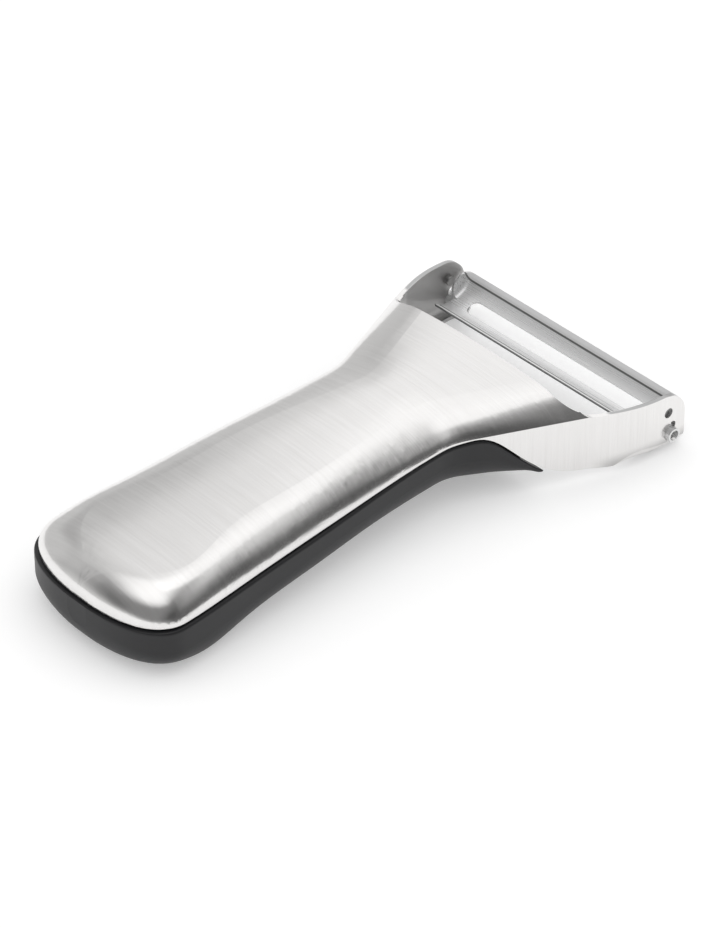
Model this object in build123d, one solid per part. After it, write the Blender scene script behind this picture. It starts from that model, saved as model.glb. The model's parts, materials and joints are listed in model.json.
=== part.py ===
from build123d import *
import math
import os

# Vegetable peeler with a Y shaped head. Millimetres, +Z up, +Y from the butt to the blade.
# It lies on its soft grip and on the curled feet of both arms, which touch Z = 0.
# Places along the peeler are written from the steel butt.

# Plan of the pressed steel body.
sheet = 1.2
arm_span = 70.6
butt_half_width = 22.1
neck_half_width = 18.4
taper_end = 73.0
taper_blend = 12.0
flare_setback = 24.5
neck_blend = 3.5
flare_end_setback = 13.7
arm_blend = 8.0
front_edge = 112.0
front_corner = 2.6
front_corner_radius = 9.0
arm_length = 28.9

# Rounding of the butt, seen from above and from the side.
butt_round_length = 11.6
butt_round_power_share = 2.3
butt_fall_length = 9.0
butt_fall_power_share = 2.0
butt_run_length = 13.6
butt_run_share = 0.9

# Heights of the steel: its lower edge, the crease above the skirt and the ridge of the dome.
edge_at_butt = 11.9
edge_at_neck = 16.6
neck_edge_setback = 29.0
edge_blend = 6.0
drop_setback = 17.0
drop_blend = 2.5
drop_end_setback = 4.5
heel_blend = 5.0
heel_height = 3.7
toe_height = 0.0
toe_setback = 7.0
toe_blend = 4.0
skirt_at_butt = 1.0
skirt_at_neck = 0.6
crease_at_front = 16.4
ridge_at_butt = 18.8
ridge_at_middle = 22.2
ridge_at_front = 21.9
ridge_middle_start = 46.0
ridge_middle_end = 78.0
ridge_blend = 16.0
crown_drop = 0.6
shoulder_run = 8.8
shoulder_run_front = 11.4
shoulder_spread_start = 60.0
shoulder_spread_setback = 15.0
crease_slope_handle = 74.0
crease_slope_front = 43.0

# Arms, their curled lower edge, the keyholes and the pressed stops.
arm_top_at_corner = 16.2
arm_top_at_tip = 14.4
arm_corner_radius = 2.5
tip_top_radius = 6.4
tip_toe_radius = 4.0
curl_radius = 3.6
curl_lead = 6.0
curl_full_setback = 11.0
curl_angle = 80.0
curl_angle_at_start = 3.0
pivot_setback = 4.3
pivot_height = 4.5
pivot_hole_radius = 1.78
key_lobe_radius = 1.05
key_lobe_forward = 0.4
key_lobe_rise = 1.95
stop_radius = 1.2
stop_back = 0.9
stop_rise = 5.8
stop_depth = 0.8
stop_height = 1.3
stop_edge_radius = 0.3

# Soft grip and the hard core that it is moulded on.
grip_gap = 0.5
grip_bulge = 0.75
grip_bulge_at_front = 0.1
grip_lip_radius = 0.6
grip_foot_radius = 6.3
grip_skin = 2.5
grip_front_setback = 5.5
grip_rest_end = 11.0
grip_rest_flat = 0.1
grip_middle_height = 4.7
grip_middle_place = 58.0
grip_neck_height = 5.3
grip_neck_setback = 24.0
grip_dip_height = 4.2
grip_dip_setback = 14.0
grip_tip_height = 4.2
grip_tip_setback = 5.0
grip_blend = 4.0
grip_rest_blend = 2.5
core_clearance = 0.15
grip_clearance = 0.1
core_recess = 2.0
core_front_lean = 3.5

# Blade: a pressed trough with a slot, turned up ears and rolled pivot tongues.
blade_sheet = 0.5
blade_half_width = 6.1
trough_radius = 8.3
trough_height = 1.9
bevel_start = 4.86
bevel_slope = 47.0
slot_half_width = 1.95
slot_end_land = 5.8
ear_gap = 0.8
near_end_setback = 1.5
blade_fold_radius = 2.2
ear_foot = -0.5
ear_foot_rise = 1.3
ear_shoulder = 1.1
ear_shoulder_rise = 4.65
ear_top = 3.7
ear_top_rise = 5.4
ear_round = 0.9
tongue_clearance = 0.08
tongue_root = 4.3
tongue_out = 1.2
tongue_seam = 0.9
rest_tilt = 14.8

# One small overrun serves every cut, and one tall blank serves every profile.
over = 1.0
blank_height = 40.0

# Bezier handle that makes a quarter of a circle.
quarter_share = 0.5523

# Shares of a section's height that its foot and its lip may take, and of the butt's rise that
# its foot gives up there.
foot_share = 0.62
lip_share = 0.2
foot_lift_share = 0.6

# Places that follow from the front edge of the dome and the tips of the arms.
flare_start = front_edge - flare_setback
neck_edge_start = front_edge - neck_edge_setback
shoulder_spread_end = front_edge - shoulder_spread_setback
drop_start = front_edge - drop_setback
drop_end = front_edge - drop_end_setback
curl_start = front_edge + curl_lead
grip_front = front_edge - grip_front_setback
grip_neck_place = front_edge - grip_neck_setback
grip_dip_place = front_edge - grip_dip_setback
grip_tip_place = front_edge - grip_tip_setback
tip_front = front_edge + arm_length
flare_end = tip_front - flare_end_setback
toe_place = tip_front - toe_setback
curl_full = tip_front - curl_full_setback
pivot_place = tip_front - pivot_setback

# Reach of the blade and its parts from the middle, from the inside of the arms.
blade_end = arm_span / 2 - sheet - ear_gap
blade_near_end = blade_end - near_end_setback
slot_half_length = blade_end - slot_end_land
tongue_start = blade_end - tongue_root


def bent_line(y, points, blends):
    """Height at y of a line through points whose corners are eased over the blend lengths."""
    first = points[0]
    second = points[1]
    slope = (second[1] - first[1]) / (second[0] - first[0])
    height = first[1] + slope * (y - first[0])
    for index, blend in enumerate(blends):
        corner = points[index + 1]
        after = points[index + 2]
        next_slope = (after[1] - corner[1]) / (after[0] - corner[0])
        past = y - corner[0]
        ramp = 0
        if past > blend:
            ramp = past
        elif past > -blend:
            ramp = (past + blend) ** 2 / (4 * blend)
        height += (next_slope - slope) * ramp
        slope = next_slope
    return height


def closing(y, start, length, power):
    """Share of the full size that a rounded end has reached at y."""
    reach = (y - start) / length
    if reach >= 1:
        return 1
    return (1 - (1 - reach) ** power) ** (1 / power)


def eased(y, start, end, before, after):
    """Value that goes smoothly from before to after between start and end."""
    share = min(max((y - start) / (end - start), 0), 1)
    return before + (after - before) * share * share * (3 - 2 * share)


def half_width(y):
    points = [(0, butt_half_width), (taper_end, neck_half_width), (flare_start, neck_half_width),
              (flare_end, arm_span / 2), (flare_end + tip_front, arm_span / 2)]
    return bent_line(y, points, [taper_blend, neck_blend, arm_blend])


def steel_edge(y):
    points = [(0, edge_at_butt), (neck_edge_start, edge_at_neck), (drop_start, edge_at_neck),
              (drop_end, heel_height), (toe_place, toe_height), (toe_place + tip_front, toe_height)]
    return bent_line(y, points, [edge_blend, drop_blend, heel_blend, toe_blend])


def crease(y):
    points = [(0, edge_at_butt + skirt_at_butt), (neck_edge_start, edge_at_neck + skirt_at_neck),
              (front_edge, crease_at_front)]
    return bent_line(y, points, [edge_blend])


def ridge(y):
    points = [(0, ridge_at_butt), (ridge_middle_start, ridge_at_middle),
              (ridge_middle_end, ridge_at_middle), (front_edge, ridge_at_front)]
    return bent_line(y, points, [ridge_blend, ridge_blend])


def grip_bottom(y):
    points = [(0, -grip_rest_flat), (grip_rest_end, -grip_rest_flat),
              (grip_middle_place, grip_middle_height),
              (grip_neck_place, grip_neck_height), (grip_dip_place, grip_dip_height),
              (grip_tip_place, grip_tip_height)]
    blends = [grip_rest_blend, grip_blend, grip_blend, grip_blend]
    return bent_line(y, points, blends)


def butt_rise(y, start, radius):
    """Height that a rounded lower corner adds at y, on a piece whose butt is at start."""
    left = start + radius - y
    if left <= 0:
        return 0
    return radius - math.sqrt(radius ** 2 - left ** 2)


def butt_spread(y, start, run, half):
    """Run of a rounded corner at y, which spreads towards the middle near the butt at start."""
    return eased(y, start, butt_run_length, half * butt_run_share, run)


def dome_lines(y, inset):
    """Shoulders and crown of the section at y, moved inwards by inset, with its two crease points."""
    wide = closing(y, inset, butt_round_length, butt_round_power_share)
    high = closing(y, inset, butt_fall_length, butt_fall_power_share)
    slope = math.radians(eased(y, flare_start, front_edge, crease_slope_handle, crease_slope_front))
    full_run = -inset + eased(y, shoulder_spread_start, shoulder_spread_end, shoulder_run,
                              shoulder_run_front)
    full_half = half_width(y) - inset
    half = full_half * wide
    run = butt_spread(y, inset, full_run, half)
    low = crease(y) - inset * math.tan((math.pi / 2 - slope) / 2)
    top = low + (ridge(y) - inset - low) * high
    flat = half - run
    crown = crown_drop * (flat / (full_half - full_run)) ** 2
    shoulder = top - crown
    lift = quarter_share * (shoulder - low) / math.sin(slope)
    reach = quarter_share * run
    lean = 2 * crown / flat
    right = [(half, y, low), (half - lift * math.cos(slope), y, low + lift * math.sin(slope)),
             (flat + reach, y, shoulder - reach * lean), (flat, y, shoulder)]
    left = [(-x, place, z) for x, place, z in reversed(right)]
    crown = Edge.make_three_point_arc(right[-1], (0, y, top), left[0])
    return [Edge.make_bezier(*right), crown, Edge.make_bezier(*left)], half, low


def shell_wire(y, inset, bottom):
    """Closed section of the shell: flat bottom, two upright walls and the dome."""
    dome, half, low = dome_lines(y, inset)
    edges = [Edge.make_line((-half, y, bottom), (half, y, bottom))]
    edges.append(Edge.make_line((half, y, bottom), (half, y, low)))
    edges += dome
    edges.append(Edge.make_line((-half, y, low), (-half, y, bottom)))
    return Wire(edges)


def foot_lines(y, half, bottom, top, run, rise):
    """Lower half of a section that stands on two rounded corners, between the points at top."""
    corner = [(half, y, bottom + rise), (half, y, bottom + rise * (1 - quarter_share)),
              (half - run * (1 - quarter_share), y, bottom), (half - run, y, bottom)]
    mirrored = [(-x, place, z) for x, place, z in corner]
    return [Edge.make_line((-half, y, top), mirrored[0]), Edge.make_bezier(*mirrored),
            Edge.make_line(mirrored[-1], corner[-1]), Edge.make_bezier(*reversed(corner)),
            Edge.make_line(corner[0], (half, y, top))]


# Sections crowd where the outline turns: shares of the rounded butt, the handle and the flare.
butt_shares = [0.004, 0.03, 0.09, 0.19, 0.33, 0.52, 0.76, 1.0]
handle_shares = [0.25, 0.5, 0.75, 1.0]
flare_shares = [0.1, 0.2, 0.3, 0.4, 0.5, 0.6, 0.7, 0.8, 0.9, 1.0]


def stations(start, end):
    places = [start + share * butt_round_length for share in butt_shares]
    butt_end = places[-1]
    places += [butt_end + share * (neck_edge_start - butt_end) for share in handle_shares]
    places += [neck_edge_start + share * (end - neck_edge_start) for share in flare_shares]
    return places


def prism_along_x(outline, reach):
    """Solid of an outline in the side view, from -reach to reach across the peeler."""
    return Solid.extrude(Face(outline), Vector(2 * reach, 0, 0)).moved(Location((-reach, 0, 0)))


def make_shell():
    """Dome with its upright walls, open below, up to the plane where the arms go on."""
    outer = Solid.make_loft([shell_wire(y, 0, steel_edge(y)) for y in stations(0, curl_start)])
    hollow_end = curl_start + over
    inner = [shell_wire(y, sheet, steel_edge(y) - over) for y in stations(sheet, hollow_end)]
    return outer - Solid.make_loft(inner)


def arm_wire(y):
    """Section of one arm: an upright wall whose lower margin curls inwards."""
    outer = half_width(y)
    angle = math.radians(eased(y, curl_start, curl_full, curl_angle_at_start, curl_angle))
    knee = steel_edge(y) + curl_radius * math.sin(angle)
    centre = outer - curl_radius
    top = arm_top_at_corner + over

    def on_curl(radius, turn):
        return (centre + radius * math.cos(turn), y, knee - radius * math.sin(turn))

    inner_radius = curl_radius - sheet
    return Wire([Edge.make_line((outer, y, top), on_curl(curl_radius, 0)),
                 Edge.make_three_point_arc(on_curl(curl_radius, 0), on_curl(curl_radius, angle / 2),
                                           on_curl(curl_radius, angle)),
                 Edge.make_line(on_curl(curl_radius, angle), on_curl(inner_radius, angle)),
                 Edge.make_three_point_arc(on_curl(inner_radius, angle),
                                           on_curl(inner_radius, angle / 2),
                                           on_curl(inner_radius, 0)),
                 Edge.make_line(on_curl(inner_radius, 0), (outer - sheet, y, top)),
                 Edge.make_line((outer - sheet, y, top), (outer, y, top))])


arm_shares = [0.0, 0.12, 0.24, 0.36, 0.48, 0.6, 0.8, 1.0]


def make_arm():
    """Right arm up to its rounded tip, with the keyhole and the pressed stop."""
    end = tip_front + over
    arm = Solid.make_loft([arm_wire(curl_start + share * (end - curl_start)) for share in arm_shares])
    wall = arm_span / 2
    hole = bore(pivot_hole_radius, wall, pivot_place, pivot_height)
    lobe = bore(key_lobe_radius, wall, pivot_place + key_lobe_forward, pivot_height + key_lobe_rise)
    stop_place = pivot_place - stop_back
    stop_up = pivot_height + stop_rise
    boss = along_x(stop_radius, wall - sheet - stop_height, wall - sheet / 2, stop_place, stop_up)
    boss = boss.fillet(stop_edge_radius, boss.edges().sort_by(Axis.X)[:1])
    dimple = along_x(stop_radius, wall - stop_depth, wall + over, stop_place, stop_up)
    return arm - hole - lobe + boss - dimple


def along_x(radius, start, end, place, height):
    """Round bar along X between start and end."""
    plane = Plane(origin=(start, place, height), x_dir=(0, 1, 0), z_dir=(1, 0, 0))
    return Solid.make_cylinder(radius, end - start, plane)


def bore(radius, wall, place, height):
    return along_x(radius, wall - sheet - over, wall + over, place, height)


def make_steel_body():
    arm = make_arm()
    body = make_shell() + arm + arm.mirror(Plane.YZ)
    corner_place = front_edge + front_corner
    outline = FilletPolyline((0, -over, -over), (0, tip_front, -over),
                             (0, tip_front, arm_top_at_tip), (0, corner_place, arm_top_at_corner),
                             (0, corner_place, blank_height), (0, -over, blank_height),
                             radius=[0, tip_toe_radius, tip_top_radius, arm_corner_radius, 0, 0],
                             close=True)
    body = body & prism_along_x(Wire(outline.edges()), arm_span)
    return body - make_front_cut(corner_place)


def make_front_cut(corner_place):
    """Takes the dome away in front of its front edge, with a swept corner at each arm."""
    side = half_width(corner_place) - sheet
    turn = math.asin(math.sqrt(1 - (1 - front_corner / front_corner_radius) ** 2))
    inside = side - front_corner_radius * math.sin(turn)
    middle = inside + front_corner_radius * math.sin(turn / 2)
    middle_place = front_edge + front_corner_radius * (1 - math.cos(turn / 2))
    end = corner_place + over
    outline = Wire([Edge.make_line((-inside, front_edge, 0), (inside, front_edge, 0)),
                    Edge.make_three_point_arc((inside, front_edge, 0), (middle, middle_place, 0),
                                              (side, corner_place, 0)),
                    Edge.make_line((side, corner_place, 0), (side, end, 0)),
                    Edge.make_line((side, end, 0), (-side, end, 0)),
                    Edge.make_line((-side, end, 0), (-side, corner_place, 0)),
                    Edge.make_three_point_arc((-side, corner_place, 0),
                                              (-middle, middle_place, 0),
                                              (-inside, front_edge, 0))])
    return Solid.extrude(Face(outline), Vector(0, 0, blank_height))


def core_wire(y, inset, skin):
    """Section of the hard core: the shell's inside above and the grip's inside below."""
    dome, half, low = dome_lines(y, inset)
    corner = grip_foot_radius - skin
    lift = butt_rise(y, inset, corner)
    bottom = grip_bottom(y) + skin + lift
    run = butt_spread(y, inset, corner, half)
    rise = min(corner - lift * foot_lift_share, (low - bottom) * foot_share)
    return Wire(foot_lines(y, half, bottom, low, run, rise) + dome)


def make_core(swell):
    """Hard core, or with a swell the space that the grip leaves for it."""
    inset = sheet + core_clearance - swell
    sections = [core_wire(y, inset, grip_skin - swell) for y in stations(inset, front_edge)]
    core = Solid.make_loft(sections)
    front = front_edge - core_recess
    foot_front = front - core_front_lean
    outline = Wire.make_polygon([(0, front, ridge_at_front), (0, foot_front, 0),
                                 (0, front_edge + over, 0),
                                 (0, front_edge + over, blank_height), (0, front, blank_height)])
    return core - prism_along_x(outline, arm_span)


def grip_wire(y):
    """Section of the soft grip: rounded feet, upright sides and a rounded lip."""
    wide = closing(y, -grip_bulge, butt_round_length, butt_round_power_share)
    bulge = eased(y, ridge_middle_start, flare_start, grip_bulge, grip_bulge_at_front)
    half = (half_width(y) + bulge) * wide
    lift = butt_rise(y, -grip_bulge, grip_foot_radius)
    bottom = grip_bottom(y) + lift
    top = steel_edge(y) - grip_gap
    run = butt_spread(y, -grip_bulge, grip_foot_radius, half)
    rise = min(grip_foot_radius - lift * foot_lift_share, (top - bottom) * foot_share)
    lip = min(grip_lip_radius, (top - bottom) * lip_share)
    diagonal = lip * (1 - math.sqrt(1 / 2))
    edges = foot_lines(y, half, bottom, top - lip, run, rise)
    edges.append(Edge.make_three_point_arc((half, y, top - lip),
                                           (half - diagonal, y, top - diagonal),
                                           (half - lip, y, top)))
    edges.append(Edge.make_line((half - lip, y, top), (lip - half, y, top)))
    edges.append(Edge.make_three_point_arc((lip - half, y, top),
                                           (diagonal - half, y, top - diagonal),
                                           (-half, y, top - lip)))
    return Wire(edges)


def make_grip():
    blank = Solid.make_loft([grip_wire(y) for y in stations(-grip_bulge, grip_front)])
    floor = Solid.make_box(2 * arm_span, 2 * tip_front, over).moved(
        Location((-arm_span, -tip_front / 2, -over)))
    return blank - floor - make_core(grip_clearance)


def trough_wire(x, depth, rise, top):
    """Outline at x of the space above the trough, sunk by depth, raised by rise and closed at top."""
    turn = math.asin(bevel_start / trough_radius)
    slope = math.radians(bevel_slope)
    radius = trough_radius + depth
    centre = trough_height + trough_radius + rise
    knee = radius * math.sin(turn)
    knee_height = centre - radius * math.cos(turn)
    lip = knee + (top - knee_height) / math.tan(slope)
    return Wire([Edge.make_line((x, -lip, top), (x, -knee, knee_height)),
                 Edge.make_three_point_arc((x, -knee, knee_height), (x, 0, centre - radius),
                                           (x, knee, knee_height)),
                 Edge.make_line((x, knee, knee_height), (x, lip, top)),
                 Edge.make_line((x, lip, top), (x, -lip, top))])


# Turn of the fold between the trough and an ear, in shares of a right angle.
fold_shares = [0, 0.2, 0.4, 0.6, 0.8, 1]


def make_fold(depth, radius):
    """Space above the trough where its right end folds up with the radius."""
    start = blade_end - blade_fold_radius
    top = ear_top_rise + blade_fold_radius + over + depth
    sections = []
    for share in fold_shares:
        turn = share * math.pi / 2
        rise = radius * (1 - math.cos(turn))
        sections.append(trough_wire(start + radius * math.sin(turn), depth, rise, top))
    return Solid.make_loft(sections)


def make_ear():
    """Far half of the right end, folded up into the ear that meets the stop."""
    folded = make_fold(blade_sheet, blade_fold_radius) - make_fold(0, blade_fold_radius - blade_sheet)
    outline = FilletPolyline((0, ear_foot, -over), (0, blade_half_width, -over),
                             (0, blade_half_width, lip_height()), (0, ear_top, ear_top_rise),
                             (0, ear_shoulder, ear_shoulder_rise), (0, ear_foot, ear_foot_rise),
                             radius=[0, 0, 0, ear_round, ear_round, 0], close=True)
    return folded & prism_along_x(Wire(outline.edges()), arm_span)


def lip_height():
    """Height of the trough's inside at its outer edges."""
    turn = math.asin(bevel_start / trough_radius)
    knee = trough_height + trough_radius * (1 - math.cos(turn))
    return knee + (blade_half_width - bevel_start) * math.tan(math.radians(bevel_slope))


def make_strip(end, near, far):
    """Plain trough sheet between the places near and far, from -end to end."""
    top = lip_height() + over
    outer = Solid.extrude(Face(trough_wire(-end, blade_sheet, 0, top)), Vector(2 * end, 0, 0))
    inner = Solid.extrude(Face(trough_wire(-end, 0, 0, top + over)), Vector(2 * end, 0, 0))
    band = Box(2 * end, far - near, blank_height).moved(Location((0, (near + far) / 2, 0)))
    return (outer - inner) & band


def make_tongue():
    """Rolled tongue that runs from the trough through the keyhole of the right arm."""
    radius = pivot_hole_radius - tongue_clearance
    start = tongue_start
    end = arm_span / 2 + tongue_out
    roll = along_x(radius, start, end, 0, 0) - along_x(radius - blade_sheet, start, end, 0, 0)
    seam = Box(end - start, tongue_seam, radius).moved(Location(((start + end) / 2, 0, -radius / 2)))
    return roll - seam


def make_blade():
    """Blade in its own frame: X along the pivots, Y across the trough, Z up."""
    fold = blade_end - blade_fold_radius
    blade = make_strip(fold, -blade_half_width, blade_half_width)
    ear = make_ear()
    blade = blade + make_strip(blade_near_end, -blade_half_width, ear_foot)
    blade = blade + ear + ear.mirror(Plane.YZ)
    slot = SlotOverall(2 * slot_half_length, 2 * slot_half_width)
    blade = blade - extrude(slot, blank_height / 2, both=True)
    tongue = make_tongue()
    return blade + tongue + tongue.mirror(Plane.YZ)


os.makedirs("parts", exist_ok=True)
at_origin = Location((0, (grip_bulge - tip_front) / 2, 0))
at_pivot = Location((0, pivot_place, pivot_height), (rest_tilt, 0, 0))
pieces = {"steel_body": make_steel_body(), "grip_core": make_core(0), "soft_grip": make_grip(),
          "blade": make_blade().moved(at_pivot)}
for name, piece in pieces.items():
    placed = piece.moved(at_origin)
    print(name, len(placed.solids()), round(placed.volume), placed.is_valid)
    export_step(placed, f"parts/{name}.step")
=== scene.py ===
import json
import math

import bpy
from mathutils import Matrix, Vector

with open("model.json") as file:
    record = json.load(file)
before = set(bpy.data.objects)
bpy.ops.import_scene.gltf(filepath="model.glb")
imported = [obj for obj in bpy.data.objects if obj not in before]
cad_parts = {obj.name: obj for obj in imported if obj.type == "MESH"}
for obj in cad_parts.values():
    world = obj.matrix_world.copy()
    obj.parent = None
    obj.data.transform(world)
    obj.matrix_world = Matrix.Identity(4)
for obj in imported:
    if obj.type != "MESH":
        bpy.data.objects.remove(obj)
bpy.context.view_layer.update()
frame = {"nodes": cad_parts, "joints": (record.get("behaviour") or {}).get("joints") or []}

bl_info = {
    "name": "Vegetable peeler",
    "version": (1, 0, 0),
    "blender": (4, 5, 0),
    "location": "3D View > Sidebar > Peeler",
    "description": "Finishes a Y-shaped vegetable peeler and sets it on a studio table",
    "category": "Object",
}

MM = 0.001

# Middle of an arm's sheet, as a distance from the middle plane: straight at the front, then
# bent inwards, then sloping in to the shell.
ARM_MIDDLE = 34.68 * MM
ARM_STRAIGHT_FROM = 64 * MM
ARM_BEND_LENGTH = 13.1 * MM
ARM_BEND_RATE = 16.2
ARM_SLOPE = 0.4255

# Soft borders of the steel body's finishes, from where each starts to where it is full: out
# from the middle of an arm's sheet, ahead of the frame's origin, and above the table.
SHEET_OUTER_FACE = (0.40 * MM, 0.50 * MM)
SHEET_INNER_FACE = (-0.50 * MM, -0.40 * MM)
# The arms' inner faces, bounded by the next two lines, get a painted shade and a rougher finish.
INSIDE_AHEAD = (43 * MM, 45 * MM)
INSIDE_TOP = (15.2 * MM, 15.9 * MM)
SHEARED_AHEAD = (50 * MM, 51 * MM)
SHEARED_FOOT = (3.8 * MM, 4.4 * MM)
# The outside of the arms' curled feet, bounded here, gets a painted shade, darker towards the
# table.
CURL_AHEAD = (46 * MM, 52 * MM)
CURL_TOP = (1.8 * MM, 5.4 * MM)
CURL_SHADE_SHARE = 0.9

# Borders of the blade's finishes: across it from its hinge line, and along it from the middle.
EDGE_ACROSS = (4.9 * MM, 5.0 * MM)
# The crease borders and the tip border also bound lines of painted shade: a dark line in the
# crease and along the cutting tip.
CREASE_START = (4.6 * MM, 4.75 * MM)
CREASE_END = (4.95 * MM, 5.1 * MM)
HONED_ACROSS = (5.35 * MM, 5.5 * MM)
TIP_ACROSS = (5.8 * MM, 5.9 * MM)
EARS_ALONG = (29.5 * MM, 30 * MM)
# How far the painted shade darkens the crease and the tip.
EDGE_SHADE_SHARE = 0.9
BLADE_MARK_DEPTH = 0.001 * MM

# Repeats to the metre of each streak or grain, along X, Y and Z.
FINE_BRUSHING = (70, 3000, 70)
BROAD_BRUSHING = (25, 900, 25)
STEEL_CLOUD = (60, 60, 60)
RUBBER_GRAIN = (2600, 2600, 2600)
RUBBER_WEAR = (70, 70, 70)
CORE_GRAIN = (1500, 1500, 1500)
DRAWN_LINES = (60, 2600, 2600)
GRINDING_LINES = (5200, 120, 120)
FLOOR_SPECKS = (30, 30, 30)
FINE_BRUSHING_SHARE = 0.65
NOISE_ROUGHNESS = 0.55

# What each mark adds to the roughness, and what it takes from the blade's metallic share.
LINE_BLUR = 0.1
CLOUD_BLUR = 0.04
INSIDE_BLUR = 0.24
SHEARED_BLUR = 0.2
WEAR_BLUR = 0.12
CORE_ROUGHNESS = 0.38
CORE_BLUR = 0.1
DRAWN_BLUR = 0.08
GROUND_BLUR = 0.2
BLADE_METAL = 0.55
GROUND_METAL_LOSS = 0.2
HONED_METAL_LOSS = 0.25

# How much paler the grain is than the grip's and the core's own colours, and the rubber's shine.
RUBBER_PALE = 1.7
CORE_PALE = 1.5
RUBBER_SPECULAR = 0.45

# The stage: floor, even light, soft lamp and camera, in metres and millimetres of film.
FLOOR_RADIUS = 4
FLOOR_SIDES = 64
FLOOR_GLOW = 0.3
FLOOR_SPECK_SHADE = 0.97
EVEN_LIGHT = 0.88
LAMP_PLACE = (0.02, 0.055, 0.46)
LAMP_TARGET = (0.02, 0.055, 0)
LAMP_SIZE = (0.52, 0.51)
SENSOR_WIDTH = 36
CLIP_START = 0.01
CLIP_END = 50


class Socket:
    """An output in a node tree. Python's operators on it add Math nodes."""

    def __init__(self, tree, output=None):
        self.tree = tree
        self.output = output

    def node(self, kind, settings=None, inputs=None, output=0):
        """Adds a node: its settings first, then the values or links of its sockets."""
        made = self.tree.nodes.new(kind)
        for name, value in (settings or {}).items():
            setattr(made, name, value)
        for name, value in (inputs or {}).items():
            if isinstance(value, Socket):
                self.tree.links.new(value.output, made.inputs[name])
            else:
                made.inputs[name].default_value = value
        return Socket(self.tree, made.outputs[output] if made.outputs else None)

    def math(self, operation, first, second):
        return self.node("ShaderNodeMath", {"operation": operation}, {0: first, 1: second})

    def __add__(self, other):
        return self.math("ADD", self, other)

    def __radd__(self, other):
        return self.math("ADD", other, self)

    def __sub__(self, other):
        return self.math("SUBTRACT", self, other)

    def __rsub__(self, other):
        return self.math("SUBTRACT", other, self)

    def __mul__(self, other):
        return self.math("MULTIPLY", self, other)

    def __rmul__(self, other):
        return self.math("MULTIPLY", other, self)

    def __abs__(self):
        return self.math("ABSOLUTE", self, 0)

    def above(self, low, high):
        """0 below low, 1 above high and smooth between them."""
        return self.node("ShaderNodeMapRange", {"interpolation_type": "SMOOTHSTEP"},
                         {"Value": self, "From Min": low, "From Max": high})

    def axis(self, name):
        return self.node("ShaderNodeSeparateXYZ", {}, {"Vector": self}, name)


def new_material(name):
    """An empty material and the starting socket of its node tree."""
    material = bpy.data.materials.new(name)
    material.use_nodes = True
    tree = material.node_tree
    tree.nodes.clear()
    start = Socket(tree)
    return material, start


def close_material(start, shader):
    """Leads a shader to the material's output."""
    start.node("ShaderNodeOutputMaterial", {}, {"Surface": shader})


def object_place(start, turn=0, centre=(0, 0, 0)):
    """Object coordinates about a centre, turned back by an angle about X."""
    place = start.node("ShaderNodeTexCoord", {}, {}, "Object")
    moved = start.node("ShaderNodeVectorMath", {"operation": "SUBTRACT"}, {0: place, 1: centre})
    return start.node("ShaderNodeVectorRotate", {"rotation_type": "X_AXIS"},
                      {"Vector": moved, "Angle": -turn})


def streaks(start, place, scale, detail=3.0):
    """Noise stretched by a scale for each axis, in repeats to the metre."""
    drawn = start.node("ShaderNodeVectorMath", {"operation": "MULTIPLY"}, {0: place, 1: scale})
    return start.node("ShaderNodeTexNoise", {"noise_dimensions": "3D"},
                      {"Vector": drawn, "Scale": 1.0, "Detail": detail,
                       "Roughness": NOISE_ROUGHNESS}, "Fac")


def grey_mix(start, share, low, high):
    """Colour that goes from low to high; each is a socket or three numbers."""
    ends = [end if isinstance(end, Socket) else (*end, 1) for end in (low, high)]
    return start.node("ShaderNodeMix", {"data_type": "RGBA"},
                      {"Factor": share, "A": ends[0], "B": ends[1]}, "Result")


class PeelerSteelSettings(bpy.types.PropertyGroup):
    """Finish of the pressed steel body."""

    light: bpy.props.FloatVectorProperty(
        name="Light streaks", description="Colour of the brushing's raised lines",
        subtype="COLOR", size=3, min=0, max=1, default=(0.89, 0.882, 0.876))
    dark: bpy.props.FloatVectorProperty(
        name="Dark streaks", description="Colour of the brushing's grooves",
        subtype="COLOR", size=3, min=0, max=1, default=(0.73, 0.717, 0.706))
    # Painted shade: this grey is painted on the arms' inner faces and curled feet for the dark
    # surroundings that they reflect.
    inside: bpy.props.FloatVectorProperty(
        name="Inside", description="Colour of the arms' inner faces, left as rolled",
        subtype="COLOR", size=3, min=0, max=1, default=(0.47, 0.465, 0.46))
    sheared: bpy.props.FloatVectorProperty(
        name="Sheared edge", description="Colour of the sheet's cut edge on the arms",
        subtype="COLOR", size=3, min=0, max=1, default=(0.52, 0.52, 0.52))
    roughness: bpy.props.FloatProperty(
        name="Roughness", description="Blur of the brushed steel's reflections",
        subtype="FACTOR", min=0, max=1, default=0.16)
    depth: bpy.props.FloatProperty(
        name="Brush depth", description="Depth of the brushed lines",
        unit="LENGTH", precision=7, min=0, default=0.007 * MM)


class PeelerGripSettings(bpy.types.PropertyGroup):
    """Finish of the soft grip and its core."""

    rubber: bpy.props.FloatVectorProperty(
        name="Rubber", description="Colour of the soft grip",
        subtype="COLOR", size=3, min=0, max=1, default=(0.010, 0.010, 0.011))
    core: bpy.props.FloatVectorProperty(
        name="Core", description="Colour of the hard core",
        subtype="COLOR", size=3, min=0, max=1, default=(0.012, 0.012, 0.012))
    roughness: bpy.props.FloatProperty(
        name="Roughness", description="Blur of the soft grip's reflections",
        subtype="FACTOR", min=0, max=1, default=0.40)
    grain: bpy.props.FloatProperty(
        name="Grain", description="Depth of the moulded grain",
        unit="LENGTH", precision=7, min=0, default=0.012 * MM)


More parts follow.
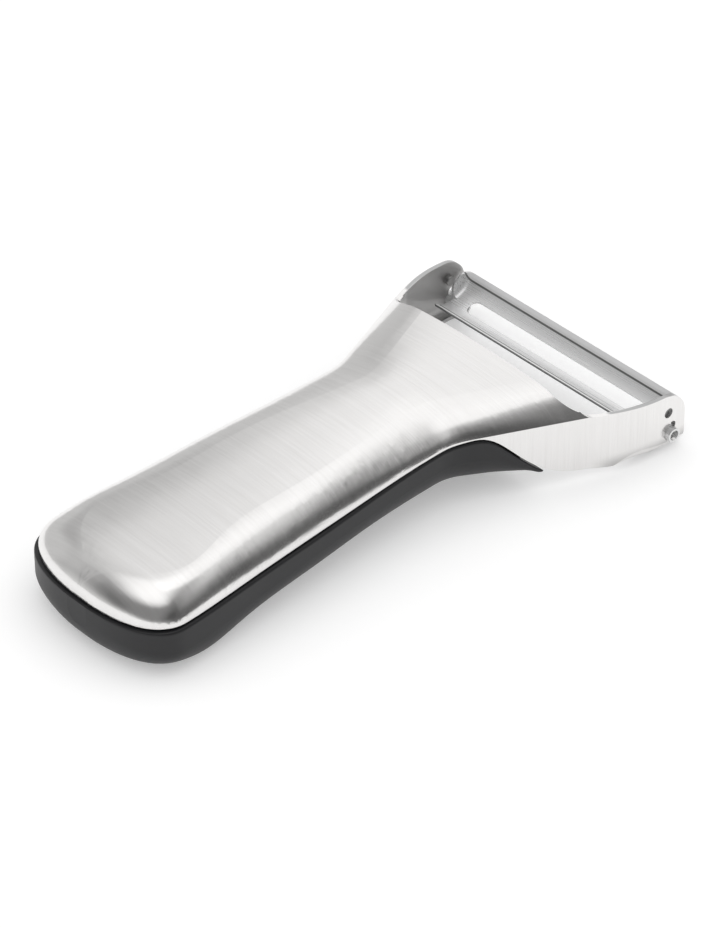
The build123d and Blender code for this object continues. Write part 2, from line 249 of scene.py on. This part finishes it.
class PeelerBladeSettings(bpy.types.PropertyGroup):
    """Finish of the blade."""

    rolled: bpy.props.FloatVectorProperty(
        name="Rolled steel", description="Colour of the strip between its edges",
        subtype="COLOR", size=3, min=0, max=1, default=(0.78, 0.78, 0.78))
    # Painted shade: this dark colour is painted in the blade's crease and along its cutting tip,
    # where shade falls.
    edge_shade: bpy.props.FloatVectorProperty(
        name="Edge shade", description="Colour of the grinding's dark lines",
        subtype="COLOR", size=3, min=0, max=1, default=(0.12, 0.12, 0.12))
    ground: bpy.props.FloatVectorProperty(
        name="Ground steel", description="Colour of the ground edges",
        subtype="COLOR", size=3, min=0, max=1, default=(0.86, 0.86, 0.86))
    roughness: bpy.props.FloatProperty(
        name="Roughness", description="Blur of the rolled steel's reflections",
        subtype="FACTOR", min=0, max=1, default=0.24)
    tilt: bpy.props.FloatProperty(
        name="Rest tilt", description="Lean of the blade as it lies on its stops",
        subtype="ANGLE", default=math.radians(14.8))


class PeelerStageSettings(bpy.types.PropertyGroup):
    """Camera, lamp and table."""

    azimuth: bpy.props.FloatProperty(
        name="Azimuth", description="Camera's turn round the peeler, 0 behind the butt",
        subtype="ANGLE", default=math.radians(47.53))
    elevation: bpy.props.FloatProperty(
        name="Elevation", description="Camera's height above the horizon",
        subtype="ANGLE", default=math.radians(36.95))
    distance: bpy.props.FloatProperty(
        name="Distance", description="From the camera to the point that it looks at",
        unit="LENGTH", default=0.9)
    target: bpy.props.FloatVectorProperty(
        name="Target", description="Point that the camera looks at",
        subtype="TRANSLATION", size=3, precision=5, default=(3.441 * MM, 4.385 * MM, 10 * MM))
    lens: bpy.props.FloatProperty(
        name="Lens", description="Focal length in millimetres", min=1, default=164.14)
    lamp_power: bpy.props.FloatProperty(
        name="Lamp power", description="Power of the soft lamp in watts", min=0, default=0.35)
    floor: bpy.props.FloatVectorProperty(
        name="Floor", description="Colour of the floor",
        subtype="COLOR", size=3, min=0, max=1, default=(0.80, 0.80, 0.80))


def arm_middle(start, ahead):
    """Distance from the middle plane to the middle of an arm's sheet, which flares and then
    runs straight."""
    short = start.math("MAXIMUM", ARM_STRAIGHT_FROM - ahead, 0)
    bend = start.math("MINIMUM", short, ARM_BEND_LENGTH)
    return ARM_MIDDLE - ARM_BEND_RATE * bend * bend - ARM_SLOPE * (short - bend)


def brushed_steel(settings):
    """Steel with fine brushing across the handle: every line lies in a plane across its length."""
    material, start = new_material("brushed_steel")
    place = object_place(start)
    fine = streaks(start, place, FINE_BRUSHING)
    broad = streaks(start, place, BROAD_BRUSHING, 2.0)
    cloud = streaks(start, place, STEEL_CLOUD, 2.0)
    line = FINE_BRUSHING_SHARE * fine + (1 - FINE_BRUSHING_SHARE) * broad
    brushed = grey_mix(start, line, settings.dark, settings.light)
    # Ahead of the shell only the arms are left: their inner faces and the outside of their curled
    # feet are painted a darker grey in place of the brushed colour, a painted shade for the dark
    # surroundings that they reflect. The inner faces are also rougher, and the sheared edge
    # between the sheet's two faces is darker.
    ahead, height = place.axis("Y"), place.axis("Z")
    depth = abs(place.axis("X")) - arm_middle(start, ahead)
    outer, inner = depth.above(*SHEET_OUTER_FACE), depth.above(*SHEET_INNER_FACE)
    inside = ahead.above(*INSIDE_AHEAD) * (1 - inner) * (1 - height.above(*INSIDE_TOP))
    sheared = ahead.above(*SHEARED_AHEAD) * (inner - outer) * height.above(*SHEARED_FOOT)
    # Painted shade on the outside of the curled feet, darker towards the table.
    curl_shade = CURL_SHADE_SHARE * outer * ahead.above(*CURL_AHEAD) * (1 - height.above(*CURL_TOP))
    shaded = grey_mix(start, inside + curl_shade, brushed, settings.inside)
    colour = grey_mix(start, sheared, shaded, settings.sheared)
    roughness = (settings.roughness - LINE_BLUR / 2 + LINE_BLUR * line + CLOUD_BLUR * cloud
                 + INSIDE_BLUR * inside + SHEARED_BLUR * sheared)
    normal = start.node("ShaderNodeBump", {}, {"Strength": 1.0, "Distance": settings.depth,
                                               "Height": line}, "Normal")
    close_material(start, start.node("ShaderNodeBsdfPrincipled", {}, {
        "Base Color": colour, "Metallic": 1.0, "Roughness": roughness, "Normal": normal}))
    return material


def soft_rubber(settings):
    """Matt black rubber with the fine even grain of its mould."""
    material, start = new_material("grip_rubber")
    place = object_place(start)
    grain = streaks(start, place, RUBBER_GRAIN, 4.0)
    worn = streaks(start, place, RUBBER_WEAR)
    pale = tuple(RUBBER_PALE * part for part in settings.rubber)
    colour = grey_mix(start, 0.5 * grain + 0.5 * worn, settings.rubber, pale)
    roughness = settings.roughness + WEAR_BLUR * worn
    normal = start.node("ShaderNodeBump", {}, {"Strength": 1.0, "Distance": settings.grain,
                                               "Height": grain}, "Normal")
    close_material(start, start.node("ShaderNodeBsdfPrincipled", {}, {
        "Base Color": colour, "Roughness": roughness, "Specular IOR Level": RUBBER_SPECULAR,
        "Normal": normal}))
    return material


def core_plastic(settings):
    """Hard moulded plastic that fills the shell."""
    material, start = new_material("core_plastic")
    place = object_place(start)
    grain = streaks(start, place, CORE_GRAIN)
    pale = tuple(CORE_PALE * part for part in settings.core)
    colour = grey_mix(start, grain, settings.core, pale)
    normal = start.node("ShaderNodeBump", {}, {"Strength": 1.0, "Distance": settings.grain,
                                               "Height": grain}, "Normal")
    close_material(start, start.node("ShaderNodeBsdfPrincipled", {}, {
        "Base Color": colour, "Roughness": CORE_ROUGHNESS + CORE_BLUR * grain,
        "Normal": normal}))
    return material


def blade_steel(settings):
    """Rolled bright strip, drawn lengthwise, with ground edges whose marks run across, and painted
    shade darkening its crease and its cutting tip.
    """
    material, start = new_material("blade_steel")
    hinge = frame["joints"][0]["pos_m"]
    place = object_place(start, settings.tilt, tuple(hinge))
    drawn = streaks(start, place, DRAWN_LINES)
    ground = streaks(start, place, GRINDING_LINES)
    across = abs(place.axis("Y"))
    edge = across.above(*EDGE_ACROSS)
    crease_shade = across.above(*CREASE_START) * (1 - across.above(*CREASE_END))
    honed = across.above(*HONED_ACROSS)
    tip_shade = (0 - place.axis("Y")).above(*TIP_ACROSS)
    # The ears at both ends carry no marks.
    ends = abs(place.axis("X")).above(*EARS_ALONG)
    mark = (drawn * (1 - edge) + ground * edge) * (1 - ends)
    bright = grey_mix(start, edge, settings.rolled, settings.ground)
    # Painted shade: the crease and the cutting tip are darkened towards the dark colour.
    colour = grey_mix(start, EDGE_SHADE_SHARE * crease_shade + EDGE_SHADE_SHARE * tip_shade, bright, settings.edge_shade)
    roughness = settings.roughness + DRAWN_BLUR * drawn + GROUND_BLUR * edge
    metal = BLADE_METAL - GROUND_METAL_LOSS * edge - HONED_METAL_LOSS * honed
    normal = start.node("ShaderNodeBump", {}, {"Strength": 1.0, "Distance": BLADE_MARK_DEPTH,
                                               "Height": mark}, "Normal")
    close_material(start, start.node("ShaderNodeBsdfPrincipled", {}, {
        "Base Color": colour, "Metallic": metal, "Roughness": roughness, "Normal": normal}))
    return material


def dress(node, material):
    """Gives a node of the frame its finish."""
    piece = frame["nodes"][node]
    for slot in piece.material_slots:
        slot.material = material


class PEELER_OT_steel_body(bpy.types.Operator):
    """Finishes the pressed steel body"""

    bl_idname = "peeler.steel_body"
    bl_label = "Steel body"

    def execute(self, context):
        dress("steel_body", brushed_steel(context.scene.peeler_steel))
        return {"FINISHED"}


class PEELER_OT_grip(bpy.types.Operator):
    """Finishes the soft grip and the core that carries it"""

    bl_idname = "peeler.grip"
    bl_label = "Soft grip and core"

    def execute(self, context):
        dress("soft_grip", soft_rubber(context.scene.peeler_grip))
        dress("grip_core", core_plastic(context.scene.peeler_grip))
        return {"FINISHED"}


class PEELER_OT_blade(bpy.types.Operator):
    """Finishes the swivelling blade"""

    bl_idname = "peeler.blade"
    bl_label = "Blade"

    def execute(self, context):
        dress("blade", blade_steel(context.scene.peeler_blade))
        return {"FINISHED"}


def white_to_eye(start, lit, colour, strength):
    """Shader that shows as it is lit, with white added where the eye or a reflection meets it."""
    rays = start.node("ShaderNodeLightPath", {}, {}, "Is Camera Ray")
    for name in ("Is Glossy Ray", "Is Transmission Ray"):
        rays = rays + start.node("ShaderNodeLightPath", {}, {}, name)
    glow = start.node("ShaderNodeEmission", {}, {"Color": (*colour, 1),
                                                 "Strength": strength * rays})
    return start.node("ShaderNodeAddShader", {}, {0: lit, 1: glow})


def make_floor(settings):
    """Pale table that keeps the peeler's shadow and shows white to the eye."""
    bpy.ops.mesh.primitive_circle_add(vertices=FLOOR_SIDES, radius=FLOOR_RADIUS,
                                      fill_type="NGON")
    floor = bpy.context.object
    floor.name = "floor"
    material, start = new_material("floor")
    place = object_place(start)
    speck = streaks(start, place, FLOOR_SPECKS)
    pale = tuple(FLOOR_SPECK_SHADE * part for part in settings.floor)
    lit = start.node("ShaderNodeBsdfDiffuse", {}, {
        "Color": grey_mix(start, speck, pale, settings.floor)})
    close_material(start, white_to_eye(start, lit, (1, 1, 1), FLOOR_GLOW))
    floor.data.materials.append(material)


# What the steel reflects: name, azimuth from +Y towards +X and elevation in degrees, how far the
# card is even, how far its soft edge reaches, and the light that it holds back or adds.
DARK_CARDS = [("butt card", 154, 55, 40, 70, 0.78),
              ("side card", -71, 43, 11, 26, 0.25),
              ("corner card", -149, 17, 0, 30, 0.47),
              ("low card", -90, 6, 36, 48, 0.45),
              ("right card", 79, 5, 2, 65, 0.90),
              ("far card", 10, 14, 35, 48, 0.95),
              ("top card", -18, 63, 0, 14, 0.35)]
SOFT_LAMPS = [("far lamp", 6, 31, 28, 40, 0.14),
              ("overhead lamp", -144, 81, 0, 33, 1.00),
              ("head lamp", -18, 67, 4, 16, 0.50)]
SKY_LEVEL = 1.15


def card_share(start, direction, name, azimuth, elevation, even, reach):
    """1 on a round card in the studio's sky, 0 off it and soft at its edge."""
    turn, height = math.radians(azimuth), math.radians(elevation)
    centre = (math.sin(turn) * math.cos(height), math.cos(turn) * math.cos(height),
              math.sin(height))
    near = start.node("ShaderNodeVectorMath", {"operation": "DOT_PRODUCT", "label": name},
                      {0: direction, 1: centre}, "Value")
    return near.above(math.cos(math.radians(reach)), math.cos(math.radians(even)))


def make_world():
    """White to the eye and an even light, with soft cards and lamps that only reflections show."""
    world = bpy.data.worlds.new("studio")
    world.use_nodes = True
    tree = world.node_tree
    tree.nodes.clear()
    start = Socket(tree)
    direction = start.node("ShaderNodeTexCoord", {}, {}, "Generated")
    seen = SKY_LEVEL
    for *card, shade in DARK_CARDS:
        seen = seen * (1 - shade * card_share(start, direction, *card))
    for *lamp, light in SOFT_LAMPS:
        seen = seen + light * card_share(start, direction, *lamp)
    eye = start.node("ShaderNodeLightPath", {}, {}, "Is Camera Ray")
    glossy = start.node("ShaderNodeLightPath", {}, {}, "Is Glossy Ray")
    strength = EVEN_LIGHT + (1 - EVEN_LIGHT) * eye + glossy * (seen - EVEN_LIGHT)
    back = start.node("ShaderNodeBackground", {}, {"Color": (1, 1, 1, 1), "Strength": strength})
    start.node("ShaderNodeOutputWorld", {}, {"Surface": back})
    bpy.context.scene.world = world


def aim(thing, place, target):
    """Sets a lamp or camera at a place and turns it to a target."""
    thing.location = place
    thing.rotation_mode = "QUATERNION"
    thing.rotation_quaternion = (Vector(target) - Vector(place)).to_track_quat("-Z", "Y")


def make_lamp(name, place, target, size, power):
    """Soft lamp that neither the camera nor a reflection sees."""
    lamp = bpy.data.lights.new(name, "AREA")
    lamp.shape = "RECTANGLE"
    lamp.size, lamp.size_y = size
    lamp.energy = power
    thing = bpy.data.objects.new(name, lamp)
    bpy.context.scene.collection.objects.link(thing)
    aim(thing, place, target)
    thing.visible_camera = False
    thing.visible_glossy = False


def make_camera(settings):
    """Camera that looks at the peeler as the photograph does."""
    back = Vector((math.sin(settings.azimuth) * math.cos(settings.elevation),
                   -math.cos(settings.azimuth) * math.cos(settings.elevation),
                   math.sin(settings.elevation)))
    lens = bpy.data.cameras.new("camera")
    lens.lens = settings.lens
    lens.sensor_width = SENSOR_WIDTH
    lens.clip_start = CLIP_START
    lens.clip_end = CLIP_END
    camera = bpy.data.objects.new("camera", lens)
    bpy.context.scene.collection.objects.link(camera)
    aim(camera, Vector(settings.target) + settings.distance * back, settings.target)
    bpy.context.scene.camera = camera


class PEELER_OT_stage(bpy.types.Operator):
    """Makes the floor, the soft light and the camera"""

    bl_idname = "peeler.stage"
    bl_label = "Stage"

    def execute(self, context):
        settings = context.scene.peeler_stage
        bpy.ops.object.select_all(action="DESELECT")
        make_floor(settings)
        make_world()
        make_lamp("soft_lamp", LAMP_PLACE, LAMP_TARGET, LAMP_SIZE, settings.lamp_power)
        make_camera(settings)
        context.scene.view_settings.view_transform = "Standard"
        return {"FINISHED"}


class PEELER_PT_panel(bpy.types.Panel):
    """Lists the peeler's pieces and its stage"""

    bl_idname = "PEELER_PT_panel"
    bl_label = "Vegetable peeler"
    bl_space_type = "VIEW_3D"
    bl_region_type = "UI"
    bl_category = "Peeler"

    def draw(self, context):
        for operator, group in STEPS:
            self.layout.operator(operator)
            settings = getattr(context.scene, group)
            for name in settings.__annotations__:
                self.layout.prop(settings, name)


STEPS = [("peeler.steel_body", "peeler_steel"), ("peeler.grip", "peeler_grip"),
         ("peeler.blade", "peeler_blade"), ("peeler.stage", "peeler_stage")]
GROUPS = {"peeler_steel": PeelerSteelSettings, "peeler_grip": PeelerGripSettings,
          "peeler_blade": PeelerBladeSettings, "peeler_stage": PeelerStageSettings}
CLASSES = [*GROUPS.values(), PEELER_OT_steel_body, PEELER_OT_grip, PEELER_OT_blade,
           PEELER_OT_stage, PEELER_PT_panel]


def register():
    for kind in CLASSES:
        bpy.utils.register_class(kind)
    for name, kind in GROUPS.items():
        setattr(bpy.types.Scene, name, bpy.props.PointerProperty(type=kind))


def unregister():
    for name in GROUPS:
        delattr(bpy.types.Scene, name)
    for kind in reversed(CLASSES):
        bpy.utils.unregister_class(kind)


def main():
    register()
    bpy.ops.peeler.steel_body()
    bpy.ops.peeler.grip()
    bpy.ops.peeler.blade()
    bpy.ops.peeler.stage()


if __name__ == "__main__":
    main()
